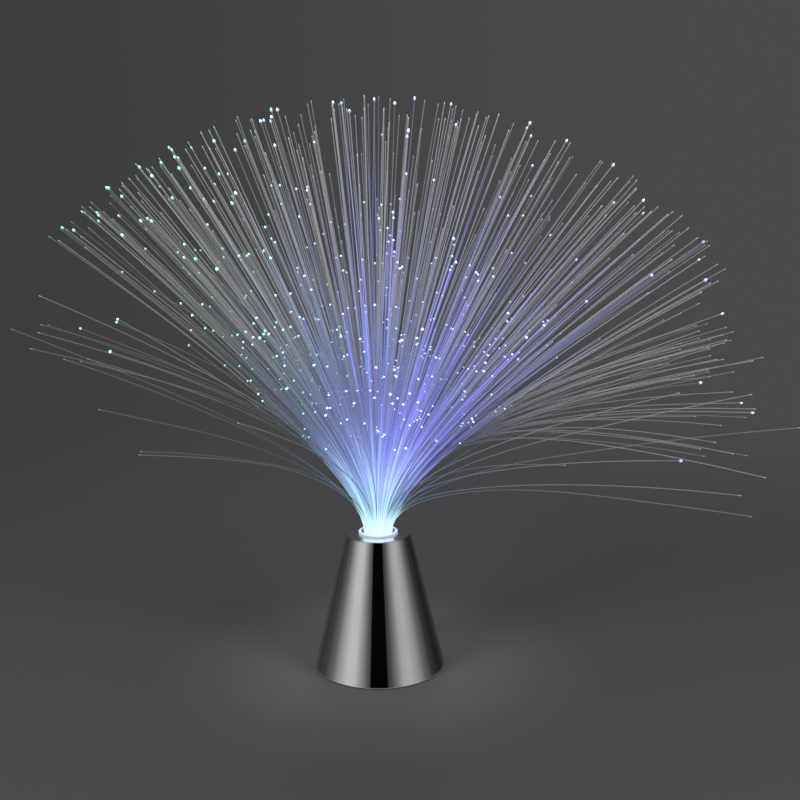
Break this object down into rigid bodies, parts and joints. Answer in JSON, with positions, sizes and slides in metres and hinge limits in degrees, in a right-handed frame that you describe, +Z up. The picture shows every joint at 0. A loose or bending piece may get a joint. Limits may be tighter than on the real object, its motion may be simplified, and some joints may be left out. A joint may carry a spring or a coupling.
{
  "type": "fibre optic lamp",
  "caption": "Battery-powered table lamp: a mirror-bright cone-shaped base with a fountain spray of clear light-tipped fibres, a hinged battery door and a slide switch underneath.",
  "frame": {"origin": "on the table, on the base cone's axis, under the middle of the lamp", "axes": "+Z up along the cone's axis, the lamp's front faces -Y, +X to the right of someone facing the front"},
  "size_m": [0.4321, 0.432, 0.3335],
  "materials": {
    "plated_shell": "polished, vacuum-plated mirror silver over moulded ABS",
    "black_plastic": "satin, fine moulded grain",
    "foot_rubber": "matte",
    "cell_wrap": "satin printed metal jacket",
    "nickel_plate": "satin nickel plate",
    "zinc_screw": "satin zinc plate",
    "frosted_collar": "satin, lit from within",
    "white_plastic": "matte",
    "circuit_board": "satin solder mask",
    "switch_laminate": "matte",
    "led_lens": "gloss",
    "resistor_coat": "satin",
    "red_wire": "satin PVC",
    "black_wire": "satin PVC",
    "clear_fibre": "polished clear acrylic, lit from the root"
  },
  "bodies": {
    "lamp": {"base_shell": "plated_shell", "base_plate": "black_plastic", "collar_nut": "black_plastic", "driver_chip": "black_plastic", "foot_1": "foot_rubber", "foot_2": "foot_rubber", "foot_3": "foot_rubber", "foot_4": "foot_rubber", "battery_1": "cell_wrap", "battery_2": "cell_wrap", "battery_3": "cell_wrap", "contact_positive": "nickel_plate", "contact_link_right": "nickel_plate", "contact_link_left": "nickel_plate", "contact_negative": "nickel_plate", "switch_frame": "nickel_plate", "plate_screw_1": "zinc_screw", "plate_screw_2": "zinc_screw", "plate_screw_3": "zinc_screw", "plate_screw_4": "zinc_screw", "board_screw_1": "zinc_screw", "board_screw_2": "zinc_screw", "bundle_collar": "frosted_collar", "led_holder": "white_plastic", "led_board": "circuit_board", "switch_board": "switch_laminate", "led_lamp": "led_lens", "board_resistor": "resistor_coat", "wire_feed": "red_wire", "wire_switched": "red_wire", "wire_return": "black_wire", "fibres_core": "clear_fibre", "fibres_inner": "clear_fibre", "fibres_middle": "clear_fibre", "fibres_outer": "clear_fibre"},
    "door": {"battery_door": "black_plastic"},
    "switch_slider": {"switch_knob": "black_plastic"}
  },
  "joints": [
    {"name": "battery_door", "type": "hinge", "parent": "lamp", "child": "door", "pos_m": [0, 0.01715, 0.0012], "axis": [1, 0, 0], "range_deg": [0, 70]},
    {"name": "power_switch", "type": "slide", "parent": "lamp", "child": "switch_slider", "axis": [1, 0, 0], "range_m": [0, 0.0025]}
  ]
}
